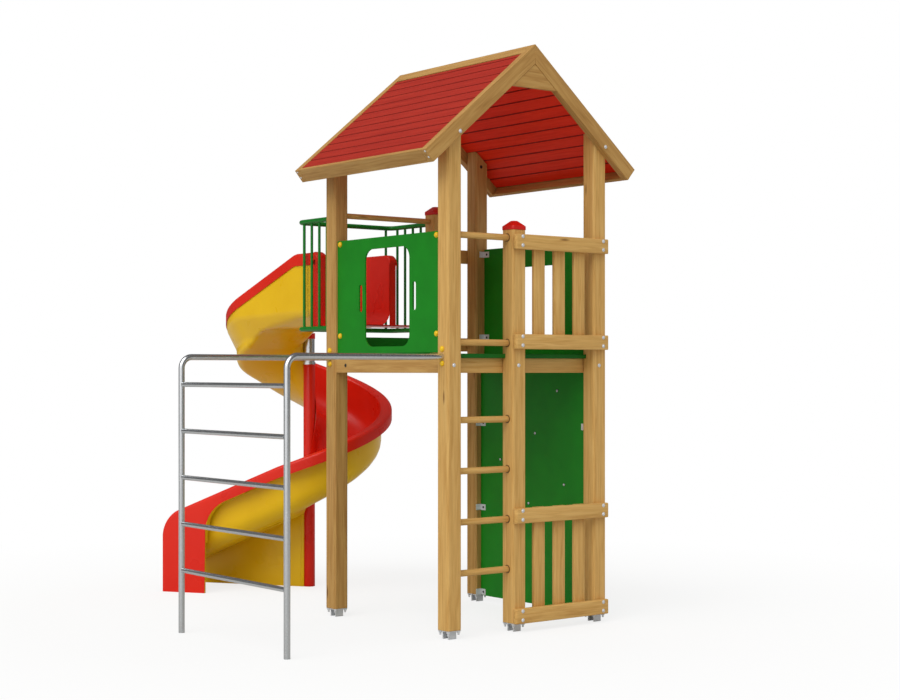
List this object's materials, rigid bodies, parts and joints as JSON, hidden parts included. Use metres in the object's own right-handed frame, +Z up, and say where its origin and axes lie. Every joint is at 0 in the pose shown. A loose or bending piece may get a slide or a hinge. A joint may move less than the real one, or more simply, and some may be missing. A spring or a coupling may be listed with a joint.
{
  "type": "play tower with slide",
  "caption": "Square timber play tower under a gabled red roof, with a rung ladder, window panels, a spiral slide and a steel climbing frame, for climbing up and sliding down.",
  "frame": {"origin": "The centre of the underside of the front left post's anchor, on the ground.", "axes": "+X runs along the front to the right post, +Y runs back to the slide, +Z is up."},
  "size_m": [2.286, 2.995, 3.173],
  "materials": {
    "oiled_timber": "satin",
    "red_boarding": "satin",
    "green_board": "satin",
    "green_coated_steel": "satin",
    "galvanised_steel": "satin",
    "red_fibreglass": "gloss",
    "yellow_fibreglass": "gloss",
    "red_cap_plastic": "gloss",
    "yellow_cap_plastic": "gloss",
    "hold_resin": "matte"
  },
  "bodies": {
    "root": {"beam_back": "oiled_timber", "beam_front": "oiled_timber", "beam_left": "oiled_timber", "beam_right": "oiled_timber", "cage_bars_left": "green_coated_steel", "cage_bars_right": "green_coated_steel", "cage_rail_low": "green_coated_steel", "cage_rail_top": "green_coated_steel", "climbing_holds": "hold_resin", "climbing_wall": "green_board", "deck": "green_board", "eave_board_left": "oiled_timber", "eave_board_right": "oiled_timber", "fence_back": "oiled_timber", "fence_front_lower": "oiled_timber", "fence_front_upper": "oiled_timber", "foot_back_left": "galvanised_steel", "foot_back_right": "galvanised_steel", "foot_front_left": "galvanised_steel", "foot_front_middle": "galvanised_steel", "foot_front_right": "galvanised_steel", "frame_rungs": "galvanised_steel", "frame_tube_back": "galvanised_steel", "frame_tube_front": "galvanised_steel", "gusset_back": "oiled_timber", "gusset_front": "oiled_timber", "ladder_rungs": "oiled_timber", "post_back_left": "oiled_timber", "post_back_middle": "oiled_timber", "post_back_right": "oiled_timber", "post_cap_back": "red_cap_plastic", "post_cap_front": "red_cap_plastic", "post_front_left": "oiled_timber", "post_front_middle": "oiled_timber", "post_front_right": "oiled_timber", "rafters_back": "oiled_timber", "rafters_front": "oiled_timber", "ridge_board_left": "oiled_timber", "ridge_board_right": "oiled_timber", "roof_boards_left": "red_boarding", "roof_boards_right": "red_boarding", "slide_bar": "oiled_timber", "slide_chute_lower": "red_fibreglass", "slide_chute_middle": "red_fibreglass", "slide_chute_upper": "red_fibreglass", "slide_column": "galvanised_steel", "slide_entry": "red_fibreglass", "slide_exit": "red_fibreglass", "slide_landing": "red_fibreglass", "slide_skirt": "yellow_fibreglass", "slide_sleeve": "red_fibreglass", "threshold_board": "green_board", "window_panel_left": "green_board", "window_panel_right": "green_board"}
  },
  "joints": []
}
